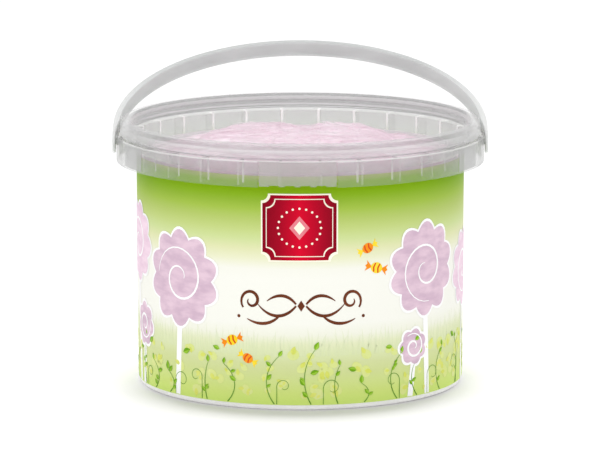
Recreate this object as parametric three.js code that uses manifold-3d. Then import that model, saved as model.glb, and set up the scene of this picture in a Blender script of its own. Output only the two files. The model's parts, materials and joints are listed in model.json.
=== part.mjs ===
// A shut translucent plastic pail of cotton candy: a round pail with a ribbed collar, a press-on lid with a
// stacking recess, a tear tab, a sleeve label, a swinging bail handle, and the candy floss that fills it.
// Millimetres, +Z up. The origin is the centre of the pail's flat base, and -Y is the front, with the tear tab.
import * as THREE from "three";
import { mergeVertices } from "three/addons/utils/BufferGeometryUtils.js";
import Module from "manifold-3d";

const wasm = await Module();
wasm.setup();

// Driving dimensions.
const SEGMENTS = 84; // facets round every turned piece
const RIB_COUNT = 28; // ribs behind the collar, evenly spaced, none on the centre line
const WALL = 1.0; // thickness of the pail's wall and of its collar
const SNAP_GAP = 0.3; // play between lid, rim, tab and collar

const BODY = { footRadius: 57.6, lowRadius: 58.5, highRadius: 59.0, foot: 2.4, top: 84.8, floor: 1.2 };
const NECK = { radius: 61.0, bottom: 86.2 };
const FLANGE = { bottom: 89.3, top: 89.9 };
const COLLAR = { radius: 66.5, bottom: 80.8, top: 90.15, lip: 0.6 };
const RIM = { inner: 62.4, outer: 63.3, top: 94.65, round: 0.3 };
const RIB = { thickness: 0.8, bottom: 81.4 };
const LABEL = { bottom: 1.9, top: 83.8, gap: 0.1, thickness: 0.2 };
const LID = { panel: 91.3, thickness: 0.9, crest: 96.0, skirt: 90.6 };
// Thick pads of the collar that brace it on both sides of each pivot, in degrees round from the front.
const PAD = { from: 59.2, to: 72.5, inner: 63.2, bottom: 81.2 };
// The tab sits a little to the left of the front's centre line.
const TAB = { turn: -0.8, halfAngle: 11.8, inner: 65.3, outer: 66.6, bottom: 81.2, top: 90.2, slit: 0.4 };
const NUB = { radial: 0.8, along: 0.5, height: 0.8, levels: [83.2, 85.8, 88.4] };
const PIN = { radius: 1.1, hole: 1.45, headRadius: 1.95, headLength: 0.9, inner: 64.3 };
const HANDLE = {
  radius: 67.9, // outer face of the hoop
  leg: 7, // straight length from the pivot to the start of the hoop
  width: 5.6,
  thickness: 2.1,
  earThickness: 1.05,
  earRadius: 4.1,
  growing: [3, 13], // distances from the pivot over which the leg grows from the ear's thickness
  bead: 0.2, // a bead along the lower edge of the hoop's inner face
  beadWidth: 0.6,
  beading: [12, 20], // distances from the pivot over which the bead rises
  pivotHeight: 87.1,
  tilt: 19.5, // degrees above the horizontal, leaning back on its stops
  steps: 60,
};
// Wedges inside the legs. Their flat faces lie along the collar's top edge when the handle leans back or forwards.
const STOP = { from: 11.5, to: 15, inner: 64.85, outer: 66.6, play: 0.1 };
const CANDY = { bottom: 1.5, sideGap: 0.3, backLevel: 83.4, ceiling: 90.0, side: 56, rings: 10, wave: 0.3 };

const degrees = THREE.MathUtils.degToRad;
const smooth = (value, from, to) => THREE.MathUtils.smoothstep(value, from, to);

// A geometry with only merged positions, as manifold-3d reads it.
function solidOf(geometry) {
  const bare = new THREE.BufferGeometry().setAttribute("position", geometry.getAttribute("position"));
  bare.setIndex(geometry.getIndex());
  const merged = mergeVertices(bare, 1e-4);
  const corners = merged.getIndex().array;
  const kept = [];
  for (let i = 0; i < corners.length; i += 3) {
    const [a, b, c] = [corners[i], corners[i + 1], corners[i + 2]];
    if (a !== b && b !== c && c !== a) kept.push(a, b, c);
  }
  return new wasm.Manifold(
    new wasm.Mesh({
      numProp: 3,
      vertProperties: new Float32Array(merged.getAttribute("position").array),
      triVerts: new Uint32Array(kept),
    }),
  );
}

function geometryOf(solid) {
  const mesh = solid.getMesh();
  return new THREE.BufferGeometry()
    .setAttribute("position", new THREE.BufferAttribute(new Float32Array(mesh.vertProperties), 3))
    .setIndex(new THREE.BufferAttribute(new Uint32Array(mesh.triVerts), 1));
}

// A profile of [radius, height] pairs turned round +Z.
function turned(profile) {
  const points = profile.map(([radius, height]) => new THREE.Vector2(radius, height));
  return solidOf(new THREE.LatheGeometry(points, SEGMENTS).rotateX(Math.PI / 2));
}

// A block bent round +Z, between two radii, two angles in degrees from +X, and two heights.
function sector(inner, outer, from, to, bottom, top) {
  const [start, end] = [degrees(from), degrees(to)];
  const outline = new THREE.Shape();
  outline.absarc(0, 0, outer, start, end, false);
  outline.absarc(0, 0, inner, end, start, true);
  outline.closePath();
  const block = new THREE.ExtrudeGeometry(outline, { depth: top - bottom, bevelEnabled: false, curveSegments: 8 });
  return solidOf(block.translate(0, 0, bottom));
}

// A rod along X between two positions, at a height over its own axis of zero.
function rodAlongX(radius, from, to, sides = 24) {
  const rod = new THREE.CylinderGeometry(radius, radius, Math.abs(to - from), sides);
  return solidOf(rod.rotateZ(Math.PI / 2).translate((from + to) / 2, 0, 0));
}

// Closed skin over a list of loops with equal point counts, capped at both ends.
function loft(loops) {
  const count = loops[0].length;
  const positions = loops.flat().flatMap((point) => point);
  const index = [];
  for (let i = 0; i + 1 < loops.length; i++) {
    for (let j = 0; j < count; j++) {
      const [a, b] = [i * count + j, i * count + ((j + 1) % count)];
      index.push(a, b, b + count, a, b + count, a + count);
    }
  }
  const cap = (loopIndex, flip) => {
    const loop = loops[loopIndex];
    const centre = [0, 1, 2].map((k) => loop.reduce((sum, point) => sum + point[k], 0) / count);
    const hub = positions.length / 3;
    positions.push(...centre);
    for (let j = 0; j < count; j++) {
      const [a, b] = [loopIndex * count + j, loopIndex * count + ((j + 1) % count)];
      index.push(...(flip ? [hub, b, a] : [hub, a, b]));
    }
  };
  cap(0, true);
  cap(loops.length - 1, false);
  const skin = new THREE.BufferGeometry().setAttribute("position", new THREE.Float32BufferAttribute(positions, 3));
  return solidOf(skin.setIndex(index));
}

function named(name, solid, material) {
  const mesh = new THREE.Mesh(geometryOf(solid), material);
  mesh.name = name;
  return mesh;
}

// The pail in section: foot, body, neck, flange with its hanging collar, rim, then back down the inside.
function pailProfile() {
  const innerNeck = NECK.radius - WALL;
  const rimShoulder = RIM.top - RIM.round;
  const lipInner = COLLAR.radius - COLLAR.lip;
  return [
    [0, 0],
    [BODY.footRadius, 0],
    [BODY.footRadius + 0.55, 0.35],
    [BODY.lowRadius - 0.05, BODY.foot / 2],
    [BODY.lowRadius, BODY.foot],
    [BODY.highRadius, BODY.top],
    [NECK.radius, NECK.bottom],
    [NECK.radius, FLANGE.bottom],
    [COLLAR.radius - WALL, FLANGE.bottom],
    [COLLAR.radius - WALL, COLLAR.bottom],
    [COLLAR.radius, COLLAR.bottom],
    [COLLAR.radius, COLLAR.top],
    [lipInner, COLLAR.top],
    [lipInner, FLANGE.top],
    [RIM.outer, FLANGE.top],
    [RIM.outer, rimShoulder],
    [RIM.outer - RIM.round, RIM.top],
    [RIM.inner + RIM.round, RIM.top],
    [RIM.inner, rimShoulder],
    [RIM.inner, FLANGE.top],
    [innerNeck, FLANGE.top],
    [innerNeck, NECK.bottom + 0.2],
    [BODY.highRadius - WALL, BODY.top + 0.2],
    [BODY.lowRadius - WALL, BODY.floor + 1],
    [BODY.lowRadius - WALL - 1, BODY.floor],
    [0, BODY.floor],
  ];
}

function rib(angle) {
  const [from, to] = [NECK.radius - WALL / 3, COLLAR.radius - WALL / 2];
  const height = FLANGE.bottom + WALL / 3 - RIB.bottom;
  const plate = new THREE.BoxGeometry(to - from, RIB.thickness, height);
  return solidOf(plate.translate((from + to) / 2, 0, RIB.bottom + height / 2).rotateZ(angle));
}

function pail() {
  let solid = turned(pailProfile());
  const pitch = (2 * Math.PI) / RIB_COUNT;
  for (let i = 0; i < RIB_COUNT; i++) {
    solid = solid.add(rib(-Math.PI / 2 + (i + 0.5) * pitch));
  }
  const padOuter = COLLAR.radius - WALL / 2;
  const padTop = FLANGE.bottom + WALL / 3;
  for (const middle of [-90, 90]) {
    for (const side of [-1, 1]) {
      const [from, to] = [middle + side * PAD.from, middle + side * PAD.to].sort((a, b) => a - b);
      solid = solid.add(sector(PAD.inner, padOuter, from, to, PAD.bottom, padTop));
    }
  }
  const middle = -90 + TAB.turn;
  const half = TAB.halfAngle + TAB.slit;
  const [inside, outside] = [TAB.inner - SNAP_GAP, COLLAR.radius + WALL];
  const opening = sector(inside, outside, middle - half, middle + half, COLLAR.bottom - 1, COLLAR.top + 1);
  solid = solid.subtract(opening);
  for (const side of [-1, 1]) {
    const hole = rodAlongX(PIN.hole, side * PIN.inner, side * (COLLAR.radius + WALL));
    solid = solid.subtract(hole.translate([0, 0, HANDLE.pivotHeight]));
  }
  return solid;
}

// The tear tab: a plate in the collar's front opening, with three small bridges at each end.
function tearTab() {
  const middle = -90 + TAB.turn;
  let solid = sector(TAB.inner, TAB.outer, middle - TAB.halfAngle, middle + TAB.halfAngle, TAB.bottom, TAB.top);
  const radius = (TAB.inner + TAB.outer) / 2;
  for (const side of [-1, 1]) {
    for (const level of NUB.levels) {
      const bridge = new THREE.BoxGeometry(NUB.radial, NUB.along, NUB.height).translate(radius, 0, level);
      solid = solid.add(solidOf(bridge.rotateZ(degrees(middle + side * TAB.halfAngle))));
    }
  }
  return solid;
}

// The lid in section: flat recessed panel, wall up to the crest, grooved outer skirt, channel over the rim.
function lidProfile() {
  const channelTop = LID.crest - LID.thickness - 0.05;
  const plug = RIM.inner - SNAP_GAP;
  const skirtInner = RIM.outer + SNAP_GAP;
  return [
    [0, LID.panel],
    [60.3, LID.panel],
    [60.9, LID.panel + 0.2],
    [61.2, LID.panel + 0.8],
    [61.4, LID.crest - 1.15],
    [61.6, LID.crest - 0.55],
    [62.3, LID.crest],
    [63.6, LID.crest],
    [64.2, LID.crest - 0.45],
    [64.35, LID.crest - 1.35],
    [64.85, LID.crest - 2.05],
    [65.25, LID.crest - 3.05],
    [65.3, LID.skirt],
    [64.6, LID.skirt],
    [64.5, LID.skirt + 1.4],
    [64.1, LID.skirt + 2.2],
    [skirtInner + 0.05, LID.skirt + 2.8],
    [skirtInner, channelTop],
    [plug, channelTop],
    [plug, LID.panel - LID.thickness],
    [0, LID.panel - LID.thickness],
  ].reverse();
}

function label() {
  const inner = [BODY.lowRadius + LABEL.gap, BODY.highRadius + LABEL.gap];
  const outer = inner.map((radius) => radius + LABEL.thickness);
  return turned([
    [inner[0], LABEL.bottom],
    [outer[0], LABEL.bottom],
    [outer[1], LABEL.top],
    [inner[1], LABEL.top],
    [inner[0], LABEL.bottom],
  ]);
}

// The hoop's section at a distance along it: points of [distance out from the hoop's centre, width].
function hoopSection(distance) {
  const grown = smooth(distance, ...HANDLE.growing);
  const bead = HANDLE.bead * smooth(distance, ...HANDLE.beading);
  const inner = HANDLE.radius - HANDLE.earThickness - grown * (HANDLE.thickness - HANDLE.earThickness);
  const half = HANDLE.width / 2;
  return [
    [inner - bead, -half],
    [inner - bead, HANDLE.beadWidth - half],
    [inner, 1.5 * HANDLE.beadWidth - half],
    [inner, half],
    [HANDLE.radius, half],
    [HANDLE.radius, -half],
  ];
}

// A stop on one side, in the handle's own frame. Its faces meet at the point that is level with the collar's top
// edge, plus the play, when the handle leans back or forwards by its tilt.
function stop(side) {
  const tilt = degrees(HANDLE.tilt);
  const tip = (COLLAR.top + STOP.play - HANDLE.pivotHeight) / Math.sin(tilt);
  const [near, far] = [STOP.from, STOP.to].map((distance) => (distance - tip) * Math.tan(tilt));
  const face = new THREE.Shape();
  face.moveTo(STOP.from, -near).lineTo(STOP.to, -far).lineTo(STOP.to, far).lineTo(STOP.from, near).closePath();
  const wedge = new THREE.ExtrudeGeometry(face, { depth: STOP.outer - STOP.inner, bevelEnabled: false });
  wedge.rotateX(Math.PI / 2).rotateZ(Math.PI / 2);
  return solidOf(wedge.translate(side > 0 ? STOP.inner : -STOP.outer, 0, 0));
}

// The bail in its own frame: pivots on X, hoop in the XY plane towards +Y, width along Z.
function handle() {
  const loops = [];
  const arc = Math.PI * HANDLE.radius;
  const total = 2 * HANDLE.leg + arc;
  for (let i = 0; i <= HANDLE.steps; i++) {
    const along = (total * i) / HANDLE.steps;
    const fromEnd = Math.min(along, total - along);
    const turn = THREE.MathUtils.clamp((along - HANDLE.leg) / HANDLE.radius, 0, Math.PI);
    const below = Math.max(0, HANDLE.leg - fromEnd);
    loops.push(
      hoopSection(fromEnd).map(([out, width]) => [
        out * Math.cos(turn),
        HANDLE.leg - below + out * Math.sin(turn),
        width,
      ]),
    );
  }
  let solid = loft(loops);
  const earInner = HANDLE.radius - HANDLE.earThickness;
  for (const side of [-1, 1]) {
    const ear = rodAlongX(HANDLE.earRadius, side * earInner, side * HANDLE.radius, 32);
    const pin = rodAlongX(PIN.radius, side * PIN.inner, side * (HANDLE.radius - 0.2));
    const head = rodAlongX(PIN.headRadius, side * PIN.inner, side * (PIN.inner + PIN.headLength));
    solid = solid.add(ear).add(pin).add(head).add(stop(side));
  }
  return solid;
}

// Soft lobes of candy floss that press up under the lid: [x, y, reach in x, reach in y, height over the back].
const LOBES = [
  [-12, -7, 28.5, 52, 6.7],
  [13.5, -10.5, 23.5, 55.5, 6.6],
  [0, -36, 68, 46, 6.4],
];

function candyTop(x, y) {
  let rise = 0;
  for (const [cx, cy, reachX, reachY, height] of LOBES) {
    const spread = ((x - cx) / reachX) ** 2 + ((y - cy) / reachY) ** 2;
    rise = Math.max(rise, height * Math.sqrt(Math.max(0, 1 - spread ** 2)));
  }
  const ripple = CANDY.wave * (Math.sin(0.31 * x + 1) * Math.cos(0.27 * y) + Math.sin(0.17 * (x + y)));
  return Math.min(CANDY.ceiling, CANDY.backLevel + rise + ripple);
}

// The floss fills the pail up to its uneven top.
function candy() {
  const bodyRadius = (z) => THREE.MathUtils.mapLinear(z, 0, BODY.top, BODY.lowRadius, BODY.highRadius);
  const inside = (z) => Math.min(bodyRadius(Math.min(z, BODY.top)) - WALL - CANDY.sideGap, NECK.radius - WALL);
  const ring = (radius, height) =>
    Array.from({ length: CANDY.side }, (_, j) => {
      const angle = (2 * Math.PI * j) / CANDY.side;
      const [x, y] = [radius * Math.cos(angle), radius * Math.sin(angle)];
      return [x, y, height(x, y)];
    });
  const loops = [ring(inside(0) - 2, () => CANDY.bottom)];
  for (const z of [CANDY.bottom + 2, 28, 55]) loops.push(ring(inside(z), () => z));
  const shoulder = inside(CANDY.backLevel);
  loops.push(ring(shoulder, (x, y) => candyTop(x, y) - 1.2));
  for (let i = 0; i <= CANDY.rings; i++) {
    const share = 1 - i / (CANDY.rings + 0.6);
    loops.push(ring((shoulder - 1.2) * share, candyTop));
  }
  return loft(loops);
}

const clearPlastic = (color, roughness) =>
  new THREE.MeshStandardMaterial({ color, roughness, metalness: 0, transparent: true, opacity: 0.5 });

const group = new THREE.Group();
group.add(named("pail", pail(), clearPlastic(0xd8dad7, 0.35)));
group.add(named("tear_tab", tearTab(), clearPlastic(0xcfcfcd, 0.45)));
group.add(named("lid", turned(lidProfile()), clearPlastic(0xdcdddc, 0.3)));
group.add(named("label", label(), new THREE.MeshStandardMaterial({ color: 0xb4cf5c, roughness: 0.4 })));
group.add(named("cotton_candy", candy(), new THREE.MeshStandardMaterial({ color: 0xf2cfe0, roughness: 1 })));

const bail = named("handle", handle(), clearPlastic(0xc4c5c4, 0.35));
bail.position.z = HANDLE.pivotHeight;
bail.rotation.x = degrees(HANDLE.tilt);
group.add(bail);

export default group;
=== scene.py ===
"""A shut, translucent pail of cotton candy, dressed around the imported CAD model.

Shapes are written in millimetres and turned into metres as each mesh is made. +Z is up, -Y is the front.
"""
import json
from math import atan2, cos, degrees, floor, hypot, pi, radians, sin, sqrt, tan

import bmesh
import bpy
import numpy as np
from mathutils import Matrix, Vector, noise
from mathutils.bvhtree import BVHTree
from mathutils.geometry import tessellate_polygon


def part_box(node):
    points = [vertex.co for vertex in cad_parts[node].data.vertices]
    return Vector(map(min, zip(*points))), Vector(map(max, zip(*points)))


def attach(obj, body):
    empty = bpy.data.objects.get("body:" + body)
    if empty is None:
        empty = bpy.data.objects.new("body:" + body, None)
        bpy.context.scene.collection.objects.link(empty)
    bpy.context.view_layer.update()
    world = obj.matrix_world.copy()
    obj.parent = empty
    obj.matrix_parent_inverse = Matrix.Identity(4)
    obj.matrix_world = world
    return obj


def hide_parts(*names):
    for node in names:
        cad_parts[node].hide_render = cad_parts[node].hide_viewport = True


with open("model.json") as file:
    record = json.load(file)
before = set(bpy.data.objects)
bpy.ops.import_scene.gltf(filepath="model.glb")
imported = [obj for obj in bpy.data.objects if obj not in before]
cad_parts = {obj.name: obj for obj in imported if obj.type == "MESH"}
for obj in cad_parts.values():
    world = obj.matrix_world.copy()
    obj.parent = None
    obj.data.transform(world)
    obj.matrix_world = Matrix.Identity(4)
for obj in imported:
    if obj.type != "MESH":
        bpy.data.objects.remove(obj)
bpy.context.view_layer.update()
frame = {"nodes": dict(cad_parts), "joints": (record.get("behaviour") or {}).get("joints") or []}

MM = 0.001
TURN = 2 * pi
scene = bpy.context.scene


def box_mm(node):
    """Lowest and highest corner of a CAD node in millimetres."""
    low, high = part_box(node)
    return low / MM, high / MM


def linked(name, data):
    """A new object in the scene."""
    thing = bpy.data.objects.new(name, data)
    scene.collection.objects.link(thing)
    return thing


# ---------------------------------------------------------------- sizes

LABEL_LOW, LABEL_HIGH = box_mm("label")
LID_LOW, LID_HIGH = box_mm("lid")
TAB_LOW, TAB_HIGH = box_mm("tear_tab")
PAIL_HIGH = box_mm("pail")[1]
CANDY_LOW = box_mm("cotton_candy")[0]

ROUND_STEPS = 256  # facets round the turned pieces
ON_AXIS = 1e-6  # radius below which a profile's point lies on the axis
FACING = 0.7  # least cosine between a face's normal and a direction that it faces
MOST_OF_EDGE = 0.45  # that the rounding of one corner may take

WALL = 1.0
LABEL_THICKNESS = 0.2
LABEL_PLAY = 0.1
LABEL_TOP_RADIUS = LABEL_HIGH.x
LABEL_TAPER = 0.5  # how much wider the sleeve is at its top than at its foot
BODY_TOP_RADIUS = LABEL_TOP_RADIUS - LABEL_THICKNESS - LABEL_PLAY
BODY_LOW_RADIUS = BODY_TOP_RADIUS - LABEL_TAPER
COLLAR_RADIUS = PAIL_HIGH.y
COLLAR_INNER = COLLAR_RADIUS - WALL
NECK_RADIUS = COLLAR_RADIUS - 5.5
SHELF_INNER = 62.6  # where the flange's milky, glowing band begins, a painted highlight at the back
RIM_INNER = COLLAR_RADIUS - 4.1
RIM_OUTER = COLLAR_RADIUS - 3.2
RIM_TOP = PAIL_HIGH.z
RIM_FOOT_TOP = 90.9  # of the rim's foot, hidden behind the lid's skirt and painted dark and dense in front as painted shade
BODY_TOP = RIM_TOP - 9.85
FLANGE_BOTTOM = RIM_TOP - 5.35
FLANGE_TOP = FLANGE_BOTTOM + 0.6
COLLAR_BOTTOM = BODY_TOP - 4.0
COLLAR_TOP = FLANGE_TOP + 0.25
LIP_HEIGHT = 0.5  # of the lip along the top edges of the collar and the tab, painted milky as a highlight
BRIGHT_BACK = 18  # place along Y behind which the ribs' ends are painted brightest, with a glow: painted highlights

RIB_COUNT = 28
RIB_THICKNESS = 0.8
RIB_REACH = (NECK_RADIUS - 0.25, COLLAR_INNER + 0.3)
ROOT_BOTTOM = FLANGE_BOTTOM + 0.25  # where the pads and the ribs' lower parts end inside the flange
PAD_REACH = (COLLAR_RADIUS - 3.3, COLLAR_INNER + 0.3)
PAD_ANGLES = (59.2, 72.5)  # from the front, on both sides of each pivot

# The tear tab: angles in degrees from the front.
TAB_MIDDLE = -0.8
TAB_HALF = 11.8
TAB_INNER = 65.3
TAB_OUTER = -TAB_LOW.y
TAB_GAP = 0.3  # behind it
TAB_END_GAP = 0.4  # degrees beside it
SLOT_ANGLES = (-7.2, -2.4, 2.4, 7.2)  # from the tab's middle, of the slots along its foot
SLOT_HALF = 1.5
SLOT_HEIGHT = 0.45
BRIDGE_REACH = (65.55, 66.35)
BRIDGE_HALF = 0.22
BRIDGE_LEVELS = (83.2, 85.8, 88.4)
BRIDGE_RISE = 0.4  # half of each one's height

# The lid's steps: radius, and height over the skirt's foot, below the crest or over the panel.
LID_CREST = LID_HIGH.z
LID_RADIUS = LID_HIGH.x
LID_PANEL = LID_CREST - 4.7
LID_THICKNESS = 0.9
SNAP_GAP = 0.3
SNAP_STEPS = [(64.1, 2.2), (64.5, 1.4), (64.6, 0)]
CREST_STEPS = [(64.85, 2.05), (64.35, 1.35), (64.2, 0.45), (63.6, 0), (62.3, 0), (61.6, 0.55), (61.4, 1.15)]
PANEL_STEPS = [(61.2, 0.8), (60.9, 0.2), (60.3, 0)]
LID_FINISH_STARTS = (60.0, 62.1)  # radii from which the inner wall's and the skirt's finish begin

# The handle, which turns on pins in the collar's holes.
PIVOT_HEIGHT = frame["joints"][0]["pos_m"][2] / MM
HANDLE_TILT = radians(19.5)
HOOP_STEPS = 180
HOOP_RADIUS = 67.9
HOOP_LEG = 7.0
HOOP_WIDTH = 5.6
HOOP_THICKNESS = 2.1
HOOP_BEAD = 0.2
LEG_GROWTH = (3, 13)  # distances from the pivot over which the leg grows from the ear's thickness
BEAD_GROWTH = (12, 20)
EAR_THICKNESS = 1.05
EAR_RADIUS = 4.1
EAR_SINK = 0.01  # how far the ear's faces lie off the leg's, which keeps the joined mesh clean
LEG_OVERLAP = 0.43  # how far the leg runs past the pivot, inside the ear
HOLE_RADIUS = 1.45
PIN_RADIUS = 1.1
PIN_START = 64.4
PIN_SINK = 0.2
HEAD_RADIUS = 1.95
HEAD_REACH = (64.3, 65.2)
STOP_SPAN = (11.5, 15)
STOP_REACH = (64.85, 66.6)
STOP_PLAY = 0.1

# ---------------------------------------------------------------- camera, floor and light

VIEW_TARGET = Vector((0, 0, 0.0564))
VIEW_DISTANCE = 1.817
VIEW_PITCH = radians(9.78)
VIEW_SIDESTEP = -0.00011
LENS = 300.4


def add_camera():
    data = bpy.data.cameras.new("view")
    data.lens = LENS
    data.sensor_width = 36
    data.clip_end = 50
    camera = linked("view", data)
    back = Vector((0, -cos(VIEW_PITCH), sin(VIEW_PITCH)))
    camera.location = VIEW_TARGET + back * VIEW_DISTANCE + Vector((VIEW_SIDESTEP, 0, 0))
    camera.rotation_euler = (pi / 2 - VIEW_PITCH, 0, 0)
    scene.camera = camera


# The floor glows, and its glow is painted dimmer round the pail's foot, mostly in front of the pail, as a
# painted contact shadow: rows are (distance from the shadow's middle, strength). Both the middle and the
# distances are in metres.
SHADOW_MIDDLE = (0, -0.015, 0)
FLOOR_GLOW_PAINTED_SHADOW = [
    (0.05, 0.0),
    (0.053, 0.06),
    (0.0571, 0.21),
    (0.0612, 0.31),
    (0.0675, 0.41),
    (0.08, 0.51),
    (0.12, 0.53),
    (0.3, 0.39),
]
FLOOR_HALF = 8000


def add_floor():
    corners = [(x * FLOOR_HALF, y * FLOOR_HALF, 0) for x, y in ((-1, -1), (1, -1), (1, 1), (-1, 1))]
    floor = loose_object("floor", corners, [(0, 1, 2, 3)])
    look = Look("floor_paper")
    distance = look.node("VectorMath", "Value", {0: look.place(), 1: SHADOW_MIDDLE}, operation="DISTANCE")
    reach = FLOOR_GLOW_PAINTED_SHADOW[-1][0]
    share = look.node("MapRange", "Result", {"Value": distance, "From Max": reach})
    # The glow's ramp paints the contact shadow round the pail's foot.
    look.set({
        "Base Color": even(0.62),
        "Roughness": 0.9,
        "Specular IOR Level": 0.1,
        "Emission Color": even(1),
        "Emission Strength": look.ramp(share, [(radius / reach, even(glow)) for radius, glow in FLOOR_GLOW_PAINTED_SHADOW]),
    })
    paint(floor, [look.material])


LIGHT_AIM = Vector((0, 0, 0.05))


def add_area_light(name, place, size, watts):
    data = bpy.data.lights.new(name, "AREA")
    data.shape = "RECTANGLE"
    data.size = data.size_y = size
    data.energy = watts
    light = linked(name, data)
    light.location = place
    light.rotation_euler = (LIGHT_AIM - Vector(place)).to_track_quat("-Z", "Y").to_euler()


def add_light():
    world = bpy.data.worlds.new("studio")
    world.use_nodes = True
    background = world.node_tree.nodes["Background"]
    background.inputs["Color"].default_value = (1, 1, 1, 1)
    background.inputs["Strength"].default_value = 0.84
    scene.world = world
    add_area_light("key", (-0.3, -1.2, 1.7), 0.9, 8)
    add_area_light("top", (0.2, 0.5, 1.9), 1.6, 10)
    scene.view_settings.view_transform = "Standard"
    scene.cycles.transparent_max_bounces = 40


# ---------------------------------------------------------------- materials

FLOW_WAVES = 60  # to the metre, of the plastic's flow marks
GRAIN_WAVES = 900  # to the metre, of the unevenness of its gloss


def even(value):
    """A linear grey, which also carries a plain number through a ramp."""
    return (value, value, value, 1)


def srgb(red, green, blue):
    """Linear colour of an sRGB colour given from 0 to 255."""
    def linear(value):
        value /= 255
        return value / 12.92 if value <= 0.04045 else ((value + 0.055) / 1.055) ** 2.4
    return (linear(red), linear(green), linear(blue), 1)


class Look:
    """A material in the making: its shader and the nodes that feed it, over the piece's own coordinates."""

    def __init__(self, name):
        self.material = bpy.data.materials.new(name)
        self.material.use_nodes = True
        self.tree = self.material.node_tree
        self.shader = self.tree.nodes["Principled BSDF"]

    def fill(self, node, inputs):
        """Sets a node's inputs by name or number, and links those whose value is a socket."""
        for name, value in inputs.items():
            if isinstance(value, bpy.types.NodeSocket):
                self.tree.links.new(value, node.inputs[name])
            else:
                node.inputs[name].default_value = value

    def set(self, inputs):
        self.fill(self.shader, inputs)

    def node(self, kind, output, inputs, operation=None):
        """An output of a new node."""
        node = self.tree.nodes.new("ShaderNode" + kind)
        if operation:
            node.operation = operation
        self.fill(node, inputs)
        return node.outputs[output]

    def place(self):
        return self.node("TexCoord", "Object", {})

    def noise(self, scale, detail=2, stretch=(1, 1, 1)):
        """Noise, its scale in waves to the metre."""
        place = self.node("Mapping", "Vector", {"Vector": self.place(), "Scale": stretch})
        return self.node("TexNoise", "Fac", {"Vector": place, "Scale": scale, "Detail": detail})

    def ramp(self, source, stops):
        ramp = self.tree.nodes.new("ShaderNodeValToRGB")
        elements = ramp.color_ramp.elements
        while len(elements) < len(stops):
            elements.new(0.5)
        for element, (position, colour) in zip(elements, stops):
            element.position = position
            element.color = colour
        self.fill(ramp, {"Fac": source})
        return ramp.outputs["Color"]

    def along(self, axis, stops):
        """Linear colours by place in millimetres along an axis."""
        low, high = stops[0][0], stops[-1][0]
        place = self.node("SeparateXYZ", axis, {"Vector": self.place()})
        share = self.node("MapRange", "Result", {"Value": place, "From Min": low * MM, "From Max": high * MM})
        return self.ramp(share, [((at - low) / (high - low), colour) for at, colour in stops])

    def number_along(self, axis, rows, column):
        """The numbers in a column of rows that start with their place along an axis."""
        return self.along(axis, [(row[0], even(row[column])) for row in rows])

    def mixed(self, kind, factor, first, second):
        """A mix of two sockets or constants: kind is FLOAT or RGBA."""
        mix = self.tree.nodes.new("ShaderNodeMix")
        mix.data_type = kind
        enabled = [number for number, socket in enumerate(mix.inputs) if socket.enabled]
        self.fill(mix, dict(zip(enabled, (factor, first, second))))
        return next(socket for socket in mix.outputs if socket.enabled)

    def gloss(self, source, low, high):
        """Roughness between low and high by a pattern."""
        spread = {"Value": source, "To Min": low, "To Max": high}
        self.set({"Roughness": self.node("MapRange", "Result", spread)})

    def bump(self, source, strength, distance):
        relief = {"Height": source, "Strength": strength, "Distance": distance}
        self.set({"Normal": self.node("Bump", "Normal", relief)})

    def plastic(self, colour, alpha, roughness, flow, relief):
        """Moulded polypropylene with a softly uneven gloss and faint flow marks."""
        self.set({"Base Color": colour, "Alpha": alpha, "Specular IOR Level": 0.6})
        self.gloss(self.noise(GRAIN_WAVES), roughness * 0.8, roughness * 1.25)
        self.bump(flow, relief, 0.0003)
        return self.material

    def printed(self, colour):
        """Printed in-mould film with a satin gloss."""
        self.set({"Base Color": colour, "Specular IOR Level": 0.06})
        self.gloss(self.noise(25), 0.42, 0.55)
        return self.material

    def flow_marks(self, colour, streak=(1, 1, 1)):
        """A colour with the faint marks of the melt's flow, and the marks' pattern."""
        flow = self.noise(FLOW_WAVES, 2, streak)
        dark, light = ([min(1, share * c) for c in colour[:3]] + [1] for share in (0.95, 1.05))
        return self.ramp(flow, [(0.3, dark), (0.7, light)]), flow


def moulded_plastic(name, colour, alpha, roughness=0.3, glow=0.0):
    """Milky plastic; a glow, where given, is painted light that stands for light piped along thin edges."""
    look = Look(name)
    look.set({"Emission Color": even(1), "Emission Strength": glow})
    marks, flow = look.flow_marks(colour)
    return look.plastic(marks, alpha, roughness, flow, 0.25)


def handle_plastic(name, colour):
    """Milkier than the pail, and palest down the legs and sides: painted light."""
    look = Look(name)
    look.set({"Subsurface Weight": 0.4, "Subsurface Radius": (1, 1, 1), "Subsurface Scale": 0.003})
    marks, flow = look.flow_marks(colour, (1, 1, 4))
    shade = look.mixed("RGBA", look.number_along("X", HANDLE_PAINTED_LIGHT, 1), marks, MILKY)
    return look.plastic(shade, 0.9, 0.35, flow, 0.25)


def banded_plastic(name, bands, around, plain_grey, plain_alpha):
    """Plastic whose grey and density follow the steps of a moulded rim as painted light and shade, and change
    from front to back.

    bands lists (height, grey, alpha). around lists (place along Y, share of the alpha, how far the bands fade
    into the plain grey and alpha, as they do at the two ends, where the wall is seen along its length).
    """
    look = Look(name)
    shades = look.along("Z", [(z, srgb(grey, grey, grey)) for z, grey, _ in bands])
    by_height = look.number_along("Z", bands, 2)
    by_depth = look.number_along("Y", around, 1)
    density = look.node("Math", "Value", {0: by_height, 1: by_depth}, operation="MULTIPLY")
    fading = look.number_along("Y", around, 2)
    colour = look.mixed("RGBA", fading, shades, srgb(plain_grey, plain_grey, plain_grey))
    alpha = look.mixed("FLOAT", fading, density, plain_alpha)
    return look.plastic(colour, alpha, 0.28, look.noise(FLOW_WAVES), 0.2)


def graded_print(name, axis, stops):
    """Print whose sRGB colour changes along an axis."""
    look = Look(name)
    return look.printed(look.along(axis, [(at, srgb(*colour)) for at, colour in stops]))


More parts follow.
